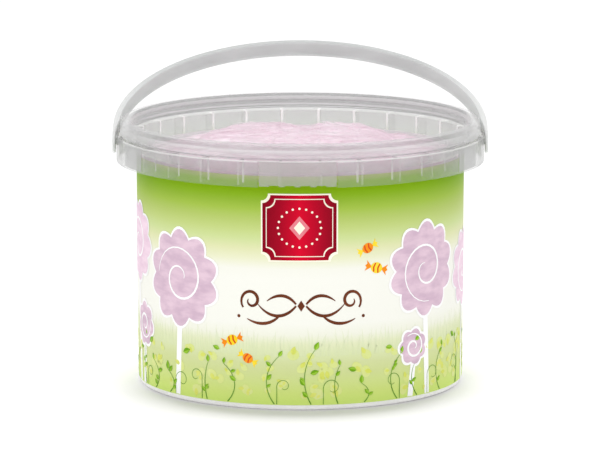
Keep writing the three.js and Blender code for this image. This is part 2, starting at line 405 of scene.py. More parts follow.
def ink(name, dark, light, scale=120, stretch=(1, 1, 1)):
    """Print in one colour family, mottled between two shades."""
    look = Look(name)
    mottle = look.noise(scale, 4, stretch)
    return look.printed(look.ramp(mottle, [(0.35, srgb(*dark)), (0.65, srgb(*light))]))


def floss_material(name, dark, light):
    """Spun sugar: pale pink in soft drifts, matt, with a faint painted glow that lightens it."""
    look = Look(name)
    drift = look.noise(45, 5, (1, 2.2, 2.2))
    fibre = look.noise(700, 6, (1, 4, 4))
    look.gloss(fibre, 0.85, 1.0)
    look.bump(fibre, 0.35, 0.0006)
    look.set({
        "Base Color": look.ramp(drift, [(0.32, srgb(*dark)), (0.62, srgb(*light))]),
        "Specular IOR Level": 0.2,
        "Sheen Weight": 0.3,
        "Sheen Roughness": 0.6,
        "Subsurface Weight": 0.35,
        "Subsurface Radius": (0.003, 0.002, 0.0025),
        "Subsurface Scale": 1.0,
        "Emission Color": (1, 0.8, 0.9, 1),
        "Emission Strength": 0.07,
    })
    return look.material


# ---------------------------------------------------------------- mesh making


def loose_object(name, verts, faces):
    """A mesh object from points in millimetres that rides on nothing yet."""
    mesh = bpy.data.meshes.new(name)
    mesh.from_pydata([tuple(MM * c for c in vert) for vert in verts], [], faces)
    mesh.validate()
    return linked(name, mesh)


def paint(piece, finishes, choose=None):
    """Gives a piece its finishes: choose picks a face's by its middle in millimetres and its normal."""
    for finish in finishes:
        piece.data.materials.append(finish)
    if choose:
        for polygon in piece.data.polygons:
            polygon.material_index = int(choose(polygon.center / MM, polygon.normal))


def finish_piece(piece, body, sharp=40):
    piece.data.shade_smooth()
    piece.data.set_sharp_from_angle(angle=radians(sharp))
    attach(piece, body)


def make_piece(name, shape, finishes, choose=None, sharp=40):
    """A smooth-shaded piece that rides on the pail, from its points and faces."""
    piece = loose_object(name, *shape)
    paint(piece, finishes, choose)
    finish_piece(piece, "pail", sharp)
    return piece


def apply_modifiers(thing):
    depsgraph = bpy.context.evaluated_depsgraph_get()
    mesh = bpy.data.meshes.new_from_object(thing.evaluated_get(depsgraph))
    thing.modifiers.clear()
    old = thing.data
    thing.data = mesh
    bpy.data.meshes.remove(old)
    mesh.name = thing.name


def combine(target, shapes, operation):
    """Joins or cuts an object with shapes."""
    others = [loose_object("other", *shape) for shape in shapes]
    for other in others:
        modifier = target.modifiers.new("combine", "BOOLEAN")
        modifier.operation = operation
        modifier.solver = "EXACT"
        modifier.object = other
    apply_modifiers(target)
    for other in others:
        bpy.data.objects.remove(other)


def softened(outline, radius, steps=3):
    """The closed outline with each corner turned into a small arc; points on the axis stay."""
    if not radius:
        return outline
    points = [np.array(p, float) for p in outline]
    out = []
    for i, point in enumerate(points):
        if point[0] < ON_AXIS:
            out.append(tuple(point))
            continue
        back, ahead = points[i - 1] - point, points[(i + 1) % len(points)] - point
        start, end = (
            point + way * min(MOST_OF_EDGE, radius / np.linalg.norm(way)) for way in (back, ahead)
        )
        for k in range(steps + 1):
            t = k / steps
            out.append(tuple((1 - t) ** 2 * start + 2 * t * (1 - t) * point + t * t * end))
    return out


def lathe(profile, steps=ROUND_STEPS, ring=False):
    """Solid of a profile of (radius, height) that starts and ends on the axis, or else is a ring."""
    verts, rings = [], []
    for radius, height in profile:
        count = 1 if radius < ON_AXIS else steps
        rings.append(range(len(verts), len(verts) + count))
        for j in range(count):
            angle = TURN * j / steps
            verts.append((radius * cos(angle), radius * sin(angle), height))
    faces = []
    for low, high in zip(rings, rings[1:] + rings[:1] if ring else rings[1:]):
        for j in range(steps):
            corners = ((low, j), (low, j + 1), (high, j + 1), (high, j))
            faces.append(tuple(dict.fromkeys(points[at % len(points)] for points, at in corners)))
    return verts, faces


def loft(loops):
    """Closed skin over a list of loops of points, capped at both ends."""
    count = len(loops[0])
    verts = [point for loop in loops for point in loop]
    faces = []
    for i in range(len(loops) - 1):
        for j in range(count):
            a, b = i * count + j, i * count + (j + 1) % count
            faces.append((a, b, b + count, a + count))
    faces.append(tuple(reversed(range(count))))
    faces.append(tuple(range(len(verts) - count, len(verts))))
    return verts, faces


def sector(inner, outer, middle, half, bottom, top, steps=24, soft=0.0):
    """A block bent round +Z: radii, angles in degrees from the front, heights."""
    outline = softened([(inner, bottom), (inner, top), (outer, top), (outer, bottom)], soft, 2)
    loops = []
    for i in range(steps + 1):
        angle = radians(middle - half + 2 * half * i / steps) - pi / 2
        loops.append([(r * cos(angle), r * sin(angle), z) for r, z in outline])
    return loft(loops)


def rod_along_x(radius, start, end, height, steps=48, soft=0.0):
    """A rod along X with softened ends."""
    low, high = sorted((start, end))
    verts, faces = lathe(softened([(0, low), (radius, low), (radius, high), (0, high)], soft), steps)
    return [(z, x, height + y) for x, y, z in verts], faces


def joined(shapes):
    """One list of points and faces from several."""
    verts, faces = [], []
    for shape_verts, shape_faces in shapes:
        base = len(verts)
        verts.extend(shape_verts)
        faces.extend(tuple(base + i for i in face) for face in shape_faces)
    return verts, faces


# ---------------------------------------------------------------- pail


def pail_profile():
    inner_neck = NECK_RADIUS - WALL
    return [
        (0, 0),
        (BODY_LOW_RADIUS - 0.9, 0),
        (BODY_LOW_RADIUS - 0.35, 0.35),
        (BODY_LOW_RADIUS - 0.05, 1.2),
        (BODY_LOW_RADIUS, 2.4),
        (BODY_TOP_RADIUS, BODY_TOP),
        (NECK_RADIUS, BODY_TOP + 1.4),
        (NECK_RADIUS, FLANGE_BOTTOM),
        (SHELF_INNER, FLANGE_BOTTOM),
        (COLLAR_INNER, FLANGE_BOTTOM),
        (COLLAR_INNER, COLLAR_BOTTOM),
        (COLLAR_RADIUS, COLLAR_BOTTOM),
        (COLLAR_RADIUS, COLLAR_TOP - LIP_HEIGHT),
        (COLLAR_RADIUS, COLLAR_TOP),
        (COLLAR_RADIUS - 0.6, COLLAR_TOP),
        (COLLAR_RADIUS - 0.6, FLANGE_TOP),
        (RIM_OUTER, FLANGE_TOP),
        (RIM_OUTER, RIM_FOOT_TOP),
        (RIM_OUTER, RIM_TOP - 0.3),
        (RIM_OUTER - 0.3, RIM_TOP),
        (RIM_INNER + 0.3, RIM_TOP),
        (RIM_INNER, RIM_TOP - 0.3),
        (RIM_INNER, FLANGE_TOP),
        (inner_neck, FLANGE_TOP),
        (inner_neck, BODY_TOP + 1.6),
        (BODY_TOP_RADIUS - WALL, BODY_TOP + 0.2),
        (BODY_LOW_RADIUS - WALL, 2.2),
        (BODY_LOW_RADIUS - WALL - 1, 1.2),
        (0, 1.2),
    ]


def pail_zone(centre):
    """Which finish a face of the pail takes, by its middle."""
    radius = hypot(centre.x, centre.y)
    if radius > COLLAR_INNER - 0.05:
        from_pivot = degrees(atan2(abs(centre.y), abs(centre.x)))
        if from_pivot < 90 - PAD_ANGLES[1]:
            return "collar_end"
        if centre.y > 0:
            return "collar_back"
        # The lip along the front collar's top edge is painted milky: a painted highlight.
        return "lip" if centre.z > COLLAR_TOP - LIP_HEIGHT else "collar_front"
    if radius > SHELF_INNER - 0.1 and FLANGE_BOTTOM - 0.05 < centre.z < FLANGE_TOP + 0.05:
        # The back of the flange takes a milky, glowing finish: a painted highlight.
        return "shelf" if centre.y > 0 else "wall"
    if centre.z > FLANGE_TOP + 0.05:
        # In front, the rim's foot is painted dark grey: painted shade in the gap under the lid's skirt.
        on_foot = centre.y < BRIGHT_BACK and radius > RIM_OUTER - 0.1 and centre.z < RIM_FOOT_TOP
        return "rim_foot" if on_foot else "rim"
    if centre.z < LABEL_LOW.z and radius > BODY_LOW_RADIUS - WALL:
        return "foot"
    # The neck in front is greyer and denser than the wall: painted shade under the collar.
    if centre.z > BODY_TOP and centre.y < 0:
        return "neck"
    return "wall"


def add_pail(finishes):
    pail = loose_object("pail_shell", *lathe(softened(pail_profile(), 0.22)))
    cuts = [sector(
        TAB_INNER - TAB_GAP, COLLAR_RADIUS + 1, TAB_MIDDLE, TAB_HALF + TAB_END_GAP,
        COLLAR_BOTTOM - 1, COLLAR_TOP + 1,
    )]
    for side in (-1, 1):
        cuts.append(rod_along_x(HOLE_RADIUS, side * HEAD_REACH[0], side * (COLLAR_RADIUS + 1), PIVOT_HEIGHT))
    combine(pail, cuts, "DIFFERENCE")
    zones = list(finishes)
    paint(pail, finishes.values(), lambda centre, normal: zones.index(pail_zone(centre)))
    finish_piece(pail, "pail")
    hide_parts("pail")


def outwardness(centre, normal):
    """How far a face looks away from the pail's axis, from -1 to 1."""
    return normal.dot(Vector((centre.x, centre.y, 0)).normalized())


def add_ribs(side, inner_end, outer_end, back_end, root):
    """Thin plates that stiffen the collar from behind, rooted in the flange."""
    plates = []
    for i in range(RIB_COUNT):
        angle = (i + 0.5) * TURN / RIB_COUNT - pi / 2
        along = Vector((cos(angle), sin(angle), 0))
        across = Vector((-along.y, along.x, 0)) * (RIB_THICKNESS / 2)
        for bottom, top in ((COLLAR_BOTTOM + 0.6, ROOT_BOTTOM), (ROOT_BOTTOM, FLANGE_TOP - 0.05)):
            corners = ((-across, bottom), (across, bottom), (across, top), (-across, top))
            plates.append(loft([
                [tuple(along * radius + offset + Vector((0, 0, z))) for offset, z in corners]
                for radius in RIB_REACH
            ]))
    finishes = [side, inner_end, outer_end, back_end, root]

    # The ribs' ends are painted milky as highlights, the inner and back ones glowing; their sides and front
    # roots stay grey.
    def choose(centre, normal):
        facing = outwardness(centre, normal)
        behind_tab = centre.y < 0 and abs(centre.x) < TAB_HIGH.x
        finish = side
        if centre.z > ROOT_BOTTOM + 0.01:
            finish = root if centre.y < BRIGHT_BACK else back_end
        elif facing > FACING:
            finish = outer_end
        elif facing < -FACING and not behind_tab:
            finish = inner_end if centre.y < BRIGHT_BACK else back_end
        return finishes.index(finish)

    make_piece("pail_ribs", joined(plates), finishes, choose)


def add_pads(face, rest):
    """The thick pads beside the pivots, densest at the collar."""
    middle = sum(PAD_ANGLES) / 2
    half = (PAD_ANGLES[1] - PAD_ANGLES[0]) / 2
    inner, outer = PAD_REACH
    pads = [
        sector(inner, outer, turn + side * middle, half, COLLAR_BOTTOM + 0.4, ROOT_BOTTOM, 12, 0.3)
        for turn in (0, 180)
        for side in (-1, 1)
    ]

    make_piece(
        "pail_pads", joined(pads), [face, rest],
        lambda centre, normal: outwardness(centre, normal) < FACING or centre.y > 0,
    )


def add_tab(finishes):
    bottom, top = TAB_LOW.z, TAB_HIGH.z
    tab = loose_object("tear_tab_plate", *sector(
        TAB_INNER, TAB_OUTER, TAB_MIDDLE, TAB_HALF, bottom, top, 32, 0.25,
    ))
    slot_top = bottom + SLOT_HEIGHT
    combine(tab, [
        sector(TAB_INNER - 1, TAB_OUTER + 1, TAB_MIDDLE + turn, SLOT_HALF, bottom - 1, slot_top, 4)
        for turn in SLOT_ANGLES
    ], "DIFFERENCE")
    combine(tab, [
        sector(*BRIDGE_REACH, TAB_MIDDLE + end, BRIDGE_HALF, z - BRIDGE_RISE, z + BRIDGE_RISE, 2)
        for end in (-TAB_HALF, TAB_HALF)
        for z in BRIDGE_LEVELS
    ], "UNION")
    # The tab's top edge takes the milky lip finish: a painted highlight.
    paint(tab, finishes, lambda centre, normal: centre.z > top - LIP_HEIGHT)
    finish_piece(tab, "pail")
    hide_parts("tear_tab")


# ---------------------------------------------------------------- lid


def lid_profile():
    underside = LID_PANEL - LID_THICKNESS
    channel_top = LID_CREST - LID_THICKNESS - 0.05
    plug = RIM_INNER - SNAP_GAP
    skirt_inner = RIM_OUTER + SNAP_GAP
    skirt = LID_LOW.z + 0.2
    return [
        (0, underside),
        (plug, underside),
        (plug, channel_top),
        (skirt_inner, channel_top),
        (skirt_inner + 0.05, skirt + 2.8),
        *((radius, skirt + up) for radius, up in SNAP_STEPS),
        (LID_RADIUS, skirt),
        (LID_RADIUS - 0.05, LID_CREST - 3.05),
        *((radius, LID_CREST - down) for radius, down in CREST_STEPS),
        *((radius, LID_PANEL + up) for radius, up in PANEL_STEPS),
        (0, LID_PANEL),
    ]


def add_lid(panel, inside, outside):
    lid = make_piece(
        "lid_cover", lathe(softened(lid_profile(), 0.2)), [panel, inside, outside],
        lambda centre, normal: sum(hypot(centre.x, centre.y) > start for start in LID_FINISH_STARTS),
    )
    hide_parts("lid")


# ---------------------------------------------------------------- handle


def eased(value, start, end):
    share = min(1, max(0, (value - start) / (end - start)))
    return share * share * (3 - 2 * share)


def hoop_outline(distance):
    """The hoop's section at a distance from the pivot: points of (distance out, width)."""
    grown = eased(distance, *LEG_GROWTH)
    bead = HOOP_BEAD * eased(distance, *BEAD_GROWTH)
    inner = HOOP_RADIUS - EAR_THICKNESS - grown * (HOOP_THICKNESS - EAR_THICKNESS)
    half = HOOP_WIDTH / 2
    outline = [
        (inner - bead, -half),
        (inner - bead, 0.6 - half),
        (inner, 0.9 - half),
        (inner, half),
        (HOOP_RADIUS, half),
        (HOOP_RADIUS, -half),
    ]
    return softened(outline, 0.25)


def stop_wedge(side):
    """The stop inside one leg: its faces lie along the collar's lip when the handle leans either way."""
    tip = (COLLAR_TOP + STOP_PLAY - PIVOT_HEIGHT) / sin(HANDLE_TILT)
    start, end = STOP_SPAN
    near, far = ((distance - tip) * tan(HANDLE_TILT) for distance in STOP_SPAN)
    outline = softened([(start, -near), (end, -far), (end, far), (start, near)], 0.1, 2)
    return loft([[(x, u, w) for u, w in outline] for x in sorted(side * reach for reach in STOP_REACH)])


def add_handle(finishes):
    """The hoop, bent flat round its pivots and then tilted; its upward-looking faces, mostly its upper edge,
    are painted darker than its face as painted shade.
    """
    total = 2 * HOOP_LEG + pi * HOOP_RADIUS
    loops = []
    for i in range(HOOP_STEPS + 1):
        along = total * i / HOOP_STEPS
        from_end = min(along, total - along)
        turn = min(pi, max(0, (along - HOOP_LEG) / HOOP_RADIUS))
        below = max(0, HOOP_LEG - from_end) * (1 + LEG_OVERLAP / HOOP_LEG)
        loops.append([
            (out * cos(turn), HOOP_LEG - below + out * sin(turn), width)
            for out, width in reversed(hoop_outline(from_end))
        ])
    bail = loose_object("bail_handle", *loft(loops))
    ear = HOOP_RADIUS - EAR_SINK
    extras = []
    for side in (-1, 1):
        extras.append(rod_along_x(EAR_RADIUS, side * (ear - EAR_THICKNESS), side * ear, 0, 64, 0.3))
        extras.append(rod_along_x(PIN_RADIUS, side * PIN_START, side * (HOOP_RADIUS - PIN_SINK), 0, 32))
        extras.append(rod_along_x(HEAD_RADIUS, side * HEAD_REACH[0], side * HEAD_REACH[1], 0, 32, 0.25))
        extras.append(stop_wedge(side))
    combine(bail, extras, "UNION")
    paint(bail, finishes, lambda centre, normal: normal.z > FACING)
    place = Matrix.Translation((0, 0, PIVOT_HEIGHT * MM)) @ Matrix.Rotation(HANDLE_TILT, 4, "X")
    bail.data.transform(place)
    finish_piece(bail, "handle")
    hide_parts("handle")


# ---------------------------------------------------------------- sleeve and print

SLEEVE_STEPS = 360
PRINT_STEP = 2.5  # widest facet of the print, along the sleeve
FILM = 0.03  # thickness of each layer of print
AROUND = TURN * LABEL_TOP_RADIUS  # length of the sleeve
PRINT_FOOT = LABEL_LOW.z + 0.3  # where the stems and sticks start
SEAM_HALF = 3


def sleeve_radius(height):
    share = (height - LABEL_LOW.z) / (LABEL_HIGH.z - LABEL_LOW.z)
    return LABEL_TOP_RADIUS - LABEL_TAPER * (1 - share)


def on_sleeve(along, height, proud):
    """A point on the sleeve: distance round from the front, height, and distance proud of it."""
    angle = along / LABEL_TOP_RADIUS
    radius = sleeve_radius(height) + proud
    return (radius * sin(angle), -radius * cos(angle), height)


def add_sleeve(material, back):
    bottom, top = LABEL_LOW.z, LABEL_HIGH.z
    profile = softened([
        (sleeve_radius(bottom) - LABEL_THICKNESS, bottom),
        (sleeve_radius(bottom), bottom),
        (sleeve_radius(top), top),
        (sleeve_radius(top) - LABEL_THICKNESS, top),
    ], 0.06, 2)

    sleeve = make_piece(
        "sleeve_label", lathe(profile, SLEEVE_STEPS, ring=True), [material, back],
        lambda centre, normal: hypot(centre.x, centre.y) < sleeve_radius(centre.z) - LABEL_THICKNESS * 0.8,
    )
    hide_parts("label")
    low, high = bottom + 0.1, top - 0.1
    left, right = AROUND / 2 - SEAM_HALF, AROUND / 2 + SEAM_HALF
    add_print("sleeve_seam", [[(left, low), (right, low), (right, high), (left, high)]], 1, material)


def wrapped(outlines, layer):
    """Closed thin films of flat outlines, bent round the sleeve."""
    films = []
    for outline in outlines:
        flat = bmesh.new()
        points = [flat.verts.new((x, z, 0)) for x, z in outline]
        for triangle in tessellate_polygon([[Vector((x, z, 0)) for x, z in outline]]):
            corners = [points[i] for i in triangle]
            if len(set(triangle)) == 3 and not flat.faces.get(corners):
                flat.faces.new(corners)
        left = min(x for x, _ in outline)
        right = max(x for x, _ in outline)
        cut = floor(left / PRINT_STEP) * PRINT_STEP + PRINT_STEP
        while cut < right:
            bmesh.ops.bisect_plane(
                flat, geom=[*flat.verts, *flat.edges, *flat.faces], dist=1e-4,
                plane_co=(cut, 0, 0), plane_no=(1, 0, 0),
            )
            cut += PRINT_STEP
        bmesh.ops.recalc_face_normals(flat, faces=flat.faces[:])
        flat.verts.index_update()
        upward = sum(face.normal.z * face.calc_area() for face in flat.faces) > 0
        count = len(flat.verts)
        verts = [on_sleeve(v.co.x, v.co.y, proud * FILM) for proud in (layer, layer - 1) for v in flat.verts]
        faces = []
        for face in flat.faces:
            ring = [v.index for v in face.verts]
            if not upward:
                ring.reverse()
            faces.append(tuple(ring))
            faces.append(tuple(count + i for i in reversed(ring)))
            sides = set(zip(ring, ring[1:] + ring[:1]))
            for edge in face.edges:
                if edge.is_boundary:
                    a, b = (v.index for v in edge.verts)
                    if (a, b) not in sides:
                        a, b = b, a
                    faces.append((b, a, count + a, count + b))
        flat.free()
        films.append((verts, faces))
    return joined(films)


def add_print(name, outlines, layer, material):
    make_piece(name, wrapped(outlines, layer), [material], sharp=30)


def polar(x, z, angle, wide, high=None):
    """The point at an angle from the middle (x, z) of a circle or an ellipse."""
    return (x + wide * cos(angle), z + (wide if high is None else high) * sin(angle))


def turned(points, x, z, turn):
    """Points turned by radians about the origin and then moved to (x, z)."""
    c, s = cos(turn), sin(turn)
    return [(x + u * c - v * s, z + u * s + v * c) for u, v in points]


def ellipse(x, z, wide, high, steps=24, turn=0.0):
    return turned([polar(0, 0, TURN * i / steps, wide, high) for i in range(steps)], x, z, turn)


def way_on(path, i):
    """The direction in which a path runs at one of its points."""
    return (path[min(i + 1, len(path) - 1)] - path[max(i - 1, 0)]).normalized()


def stroke(points, width_at):
    """Outline of a pen stroke along points, its half width given by the share along it."""
    points = [Vector(p) for p in points]
    left, right = [], []
    for i, point in enumerate(points):
        side = way_on(points, i).orthogonal()
        half = width_at(i / (len(points) - 1))
        left.append(tuple(point + side * half))
        right.append(tuple(point - side * half))
    return left + right[::-1]


def bezier(a, b, c, d, steps):
    points = []
    for i in range(steps + 1):
        t = i / steps
        k = (1 - t) ** 3, 3 * t * (1 - t) ** 2, 3 * t * t * (1 - t), t ** 3
        points.append(tuple(sum(w * p[axis] for w, p in zip(k, (a, b, c, d))) for axis in (0, 1)))
    return points


def scalloped(x, z, radius, lobes, depth, turn=0.0, steps=8):
    """A round puff with a scalloped edge."""
    points = []
    for i in range(lobes * steps):
        angle = TURN * i / (lobes * steps)
        bulge = abs(sin(lobes * angle / 2))
        points.append(polar(x, z, angle + turn, radius * (1 - depth + depth * bulge)))
    return points


# Puff lollipops: distance round from the front, height, radius, lobes, lean of the stick.
PUFFS = [
    (-48.0, 44.5, 18.5, 10, 0.05),
    (-81.5, 53.0, 15.5, 9, -0.06),
    (50.5, 47.5, 18.0, 10, -0.04),
    (84.0, 43.0, 15.0, 9, 0.04),
    (-73.5, 24.0, 9.0, 7, 0.05),
    (-150.0, 47.0, 17.0, 9, 0.05),
    (44.5, 20.0, 7.5, 7, 0.12),
    (150.0, 43.0, 17.0, 8, -0.06),
]
PUFF_EDGE = 1.0
STICK_HALF = 1.25
SWIRL_STEPS = 40


def add_puffs(white, pinks):
    edges, fills, marks, sticks = [], [[] for _ in pinks], [], []
    for i, (x, z, radius, lobes, lean) in enumerate(PUFFS):
        top = z - radius * 0.7
        foot_x = x - lean * (top - PRINT_FOOT)
        sticks.append([
            (x - STICK_HALF, top),
            (foot_x - STICK_HALF, PRINT_FOOT),
            (foot_x + STICK_HALF, PRINT_FOOT),
            (x + STICK_HALF, top),
        ])
        edges.append(scalloped(x, z, radius, lobes, 0.16, 0.3 * i))
        fills[i % len(pinks)].append(scalloped(x, z, radius - PUFF_EDGE, lobes, 0.17, 0.3 * i))
        swirl = [
            polar(x, z, 0.9 * i + 0.24 * k, radius * (0.12 + 0.55 * k / (SWIRL_STEPS - 1)))
            for k in range(SWIRL_STEPS)
        ]
        marks.append(stroke(swirl, lambda t: 0.12 + 0.3 * sin(pi * t)))
    add_print("print_sticks", sticks, 3, white)
    add_print("print_puff_edges", edges, 4, white)
    for k, (pink, outlines) in enumerate(zip(pinks, fills)):
        add_print(f"print_puffs_{k + 1}", outlines, 5 + k, pink)
    add_print("print_puff_swirls", marks, 7, white)


BADGE_X, BADGE_Z = -0.3, 65.5
BADGE_WIDE, BADGE_HIGH = 27.4, 24.3
# The badge's layers: name, how much smaller than the badge, radius of the notches.
BADGE_LAYERS = [
    ("print_badge_edge", 0, 2.6),
    ("print_badge", 1.1, 2.9),
    ("print_badge_line", 3.6, 3.1),
    ("print_badge_field", 4.2, 3.2),
]
BADGE_DOTS = 20


def ticket(x, z, wide, high, notch, steps=6):
    """A plaque whose corners are scooped out."""
    points = []
    for sx, sz, start in ((1, 1, 270), (-1, 1, 360), (-1, -1, 90), (1, -1, 180)):
        for k in range(steps + 1):
            angle = radians(start - 90 * k / steps)
            points.append(polar(x + sx * wide / 2, z + sz * high / 2, angle, notch))
    return points


def diamond(x, z, wide, high):
    return [(x, z + high), (x - wide, z), (x, z - high), (x + wide, z)]


def add_badge(cream, crimson, rose):
    x, z = BADGE_X, BADGE_Z
    for i, (name, less, notch) in enumerate(BADGE_LAYERS):
        plaque = ticket(x, z, BADGE_WIDE - less, BADGE_HIGH - less, notch)
        add_print(name, [plaque], 2 + i, (cream, crimson)[i % 2])
    dots = [
        ellipse(*polar(x, z, TURN * i / BADGE_DOTS, 7.6, 6.9), 0.42, 0.42, 12) for i in range(BADGE_DOTS)
    ]
    add_print("print_badge_dots", dots, 6, cream)
    add_print("print_badge_diamond", [diamond(x, z, 3.6, 4.2)], 6, rose)
    add_print("print_badge_gem", [diamond(x, z, 2.0, 2.4)], 7, cream)


DIVIDER_X, DIVIDER_Z = 0.3, 37.6


def add_divider(brown):
    """A brown pen flourish, the same on both sides of a small diamond."""
    x, z = DIVIDER_X, DIVIDER_Z
    swash = bezier((1.8, 0), (6, -5.2), (11.5, -4.6), (15.5, 0.4), 20)
    curl = []
    for k in range(26):
        reach = 4.1 * (1 - k / 34)
        curl.append(polar(18.0, 1.6, radians(-40 + 17 * k), reach * 0.95, reach))
    tail = bezier((8.0, -3.9), (11.5, -7.4), (16, -7.0), (19.5, -5.0), 14)
    wave = bezier((1.8, 0.6), (5, 4.8), (9, 4.2), (12.2, 1.6), 14)
    outlines = []
    for line in (swash, curl, tail, wave):
        half = stroke(line, lambda t: 0.14 + 0.42 * sin(pi * min(1, 0.12 + 0.9 * t)) ** 0.8)
        outlines.append([(x + u, z + v) for u, v in half])
        outlines.append([(x - u, z + v) for u, v in half][::-1])
    outlines.append(diamond(x, z, 1.3, 2.0))
    for side in (-1, 1):
        outlines.append(ellipse(x + side * 22.6, z - 4.2, 0.6, 0.6, 14))
    add_print("print_divider", outlines, 2, brown)


# Wrapped sweets: distance round from the front, height, size, lean in degrees, which colours.
SWEETS = [
    (24.5, 57.5, 2.1, 25, 0),
    (28.0, 50.2, 2.3, -15, 1),
    (-25.0, 24.5, 2.2, 20, 1),
    (-19.0, 18.3, 2.0, -30, 0),
    (118.0, 55.0, 2.2, 15, 0),
    (-112.0, 50.0, 2.2, -20, 1),
    (178.0, 60.0, 2.2, 10, 1),
]
# A sweet of size 1: the fan at one end of its wrap, and one stripe.
FAN = [(0.8, 0), (1.9, 0.85), (1.7, 0.3), (2.0, 0), (1.7, -0.3), (1.9, -0.85)]
STRIPE = [(0, 0.72), (-0.2, 0), (0, -0.72), (0.22, -0.68), (0.05, 0), (0.22, 0.68)]
STRIPE_SHIFTS = (-0.45, 0.3)


def add_sweets(colours, red):
    bodies, ends, stripes = [[], []], [[], []], []
    for x, z, size, lean, kind in SWEETS:
        place = (x, z, radians(lean))
        bodies[kind].append(turned(ellipse(0, 0, size, size * 0.85), *place))
        for side in (-1, 1):
            fan = turned([(side * u * size, v * size) for u, v in FAN], *place)
            ends[1 - kind].append(fan[::side])
        for shift in STRIPE_SHIFTS:
            stripes.append(turned([(shift * size + u * size, v * size) for u, v in STRIPE], *place))
    for layer, name, outlines in ((2, "print_sweet_wraps", ends), (3, "print_sweets", bodies)):
        for k in (0, 1):
            add_print(f"{name}_{k + 1}", outlines[k], layer, colours[k])
    add_print("print_sweet_stripes", stripes, 4, red)


def spaced(count, spread, rng):
    """Uneven places round the sleeve: one draw at a time, up to spread of a step off the even ones."""
    for i in range(count):
        yield AROUND * ((i + rng.uniform(-spread, spread)) / count - 0.5)


BLADE_COUNT = 340
STEM_COUNT = 30
TENDRIL_COUNT = 17
LOOSE_LEAF_COUNT = 22
SPOT_COUNT = 230
STEM_STEPS = 14


def add_grass(material, rng):
    """A soft fringe of leaning blades along the ground's upper edge."""
    blades = []
    for x in spaced(BLADE_COUNT, 0.5, rng):
        tip = rng.uniform(25.0, 30.0)
        lean = rng.normal(0, 1.1)
        half = rng.uniform(0.2, 0.6)
        line = bezier((x, GRASS_FOOT), (x, 22.5), (x + 0.3 * lean, tip - 2), (x + lean, tip), 6)
        blades.append(stroke(line, lambda t: 0.04 + half * (1 - t)))
    add_print("print_grass", blades, 1, material)


def leaf(x, z, length, turn, halves=(1, -1), steps=6):
    """A pointed leaf from its stalk, leaning by turn radians from the upright, or one half of it."""
    points = []
    for side in halves:
        for k in range(steps):
            t = k / steps if side == halves[0] else 1 - k / steps
            points.append((side * length * 0.28 * sin(pi * t ** 0.85), length * t))
    if len(halves) == 1:
        points.append((0, length))
    return turned(points, x, z, -turn)


def tendril(x, rise, radius, side):
    """A thin stalk that curls over into a spiral."""
    points = [(x, PRINT_FOOT + rise * k / 6) for k in range(6)]
    for k in range(22):
        angle = 1.7 * pi * k / 21
        reach = radius * (1 - 0.6 * k / 21)
        points.append(polar(x - side * radius, PRINT_FOOT + rise, angle, side * reach, reach))
    return points


def add_sprigs(leaf_ink, shine_ink, stem_ink, spot_inks, rng):
    """Bent stems with a few uneven leaves, tendrils, single leaves and pale spots among them."""
    stems, leaves, shines = [], [], []

    def put_leaf(x, z, length, turn):
        leaves.append(leaf(x, z, length, turn))
        shines.append(leaf(x, z, length * 0.92, turn, (1,)))

    for x in spaced(STEM_COUNT, 0.35, rng):
        height = rng.uniform(6, 20)
        bend = rng.choice((-1, 1)) * rng.uniform(1.0, 4.5)
        bows = ((0, 0), (bend, 0.3), (bend, 0.7), (-0.4 * bend, 1))
        line = bezier(*((x + shift, PRINT_FOOT + share * height) for shift, share in bows), STEM_STEPS)
        stems.append(stroke(line, lambda t: 0.2 - 0.12 * t))
        for share in rng.uniform(0.15, 0.9, rng.integers(1, 4)):
            at = line[round(share * STEM_STEPS)]
            put_leaf(*at, rng.uniform(1.6, 3.2), rng.choice((-1, 1)) * rng.uniform(0.6, 1.3))
        put_leaf(*line[-1], rng.uniform(1.8, 3.4), rng.uniform(-0.6, 0.6))
    for x in spaced(TENDRIL_COUNT, 0.3, rng):
        curl = tendril(x, rng.uniform(5, 10), rng.uniform(2.0, 3.4), rng.choice((-1, 1)))
        stems.append(stroke(curl, lambda t: 0.13 - 0.06 * t))
    for x in spaced(LOOSE_LEAF_COUNT, 0.4, rng):
        put_leaf(x, rng.uniform(6, 23), rng.uniform(2.4, 3.8), rng.choice((-1, 1)) * rng.uniform(0.9, 1.9))
    spots, shadows = [], []
    for _ in range(SPOT_COUNT):
        x, z = rng.uniform(-AROUND / 2, AROUND / 2), rng.uniform(4.5, 21)
        length, turn = rng.uniform(1.6, 3.1), rng.uniform(-pi, pi)
        spots.append(leaf(x, z, length, turn))
        shadows.append(ellipse(x + 0.5, z - 0.3, 0.75 * length, 0.6 * length, 12, turn))
    add_print("print_spot_shadows", shadows, 2, spot_inks[0])
    add_print("print_spots", spots, 3, spot_inks[1])
    add_print("print_stems", stems, 4, stem_ink)
    add_print("print_leaves", leaves, 5, leaf_ink)
    add_print("print_leaf_shines", shines, 6, shine_ink)


# ---------------------------------------------------------------- cotton candy

CANDY_CEILING = LID_PANEL - LID_THICKNESS - 0.12
FLOSS_GRID = 1.15  # size of the floss's facets
TUFT_RELIEF = 0.32
FIBRE_RELIEF = 0.1
TUFT_SINK = 0.15
THREAD_COUNT = 1700
THREAD_SIDES = 3
THREAD_STEPS = 9
THREAD_LEAST = 4  # points, below which a thread is dropped
DROP_HEIGHT = 0.12  # in metres, from which the threads are dropped on the floss


